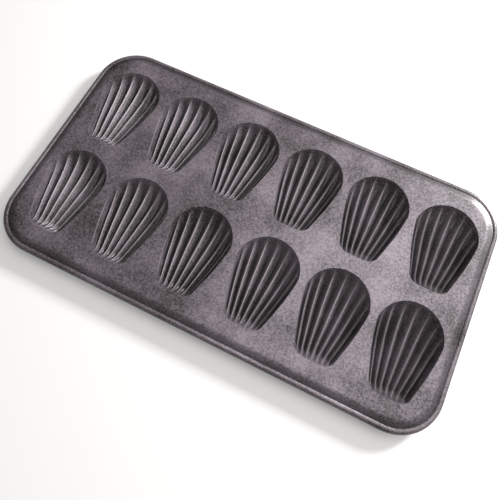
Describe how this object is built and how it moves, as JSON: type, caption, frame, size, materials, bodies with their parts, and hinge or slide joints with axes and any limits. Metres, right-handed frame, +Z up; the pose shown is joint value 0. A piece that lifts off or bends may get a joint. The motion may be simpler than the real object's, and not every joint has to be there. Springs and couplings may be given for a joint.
{
  "type": "madeleine pan",
  "caption": "Flat baking sheet with rows of fluted shell-shaped cups, a soft shoulder round each cup, a turned-down border and an edge rolled round a wire.",
  "frame": {"origin": "centre of the pan's outline, on the surface that it stands on", "axes": "+X along the rows of cups, +Y across them towards the round ends of the cups, +Z up out of the cups"},
  "size_m": [0.4, 0.223, 0.0139],
  "materials": {
    "coated_sheet": "dark speckled non-stick coating, semi-gloss",
    "wire": "bright drawn wire"
  },
  "bodies": {
    "root": {"pan_sheet": "coated_sheet", "rim_wire": "wire"}
  },
  "joints": []
}
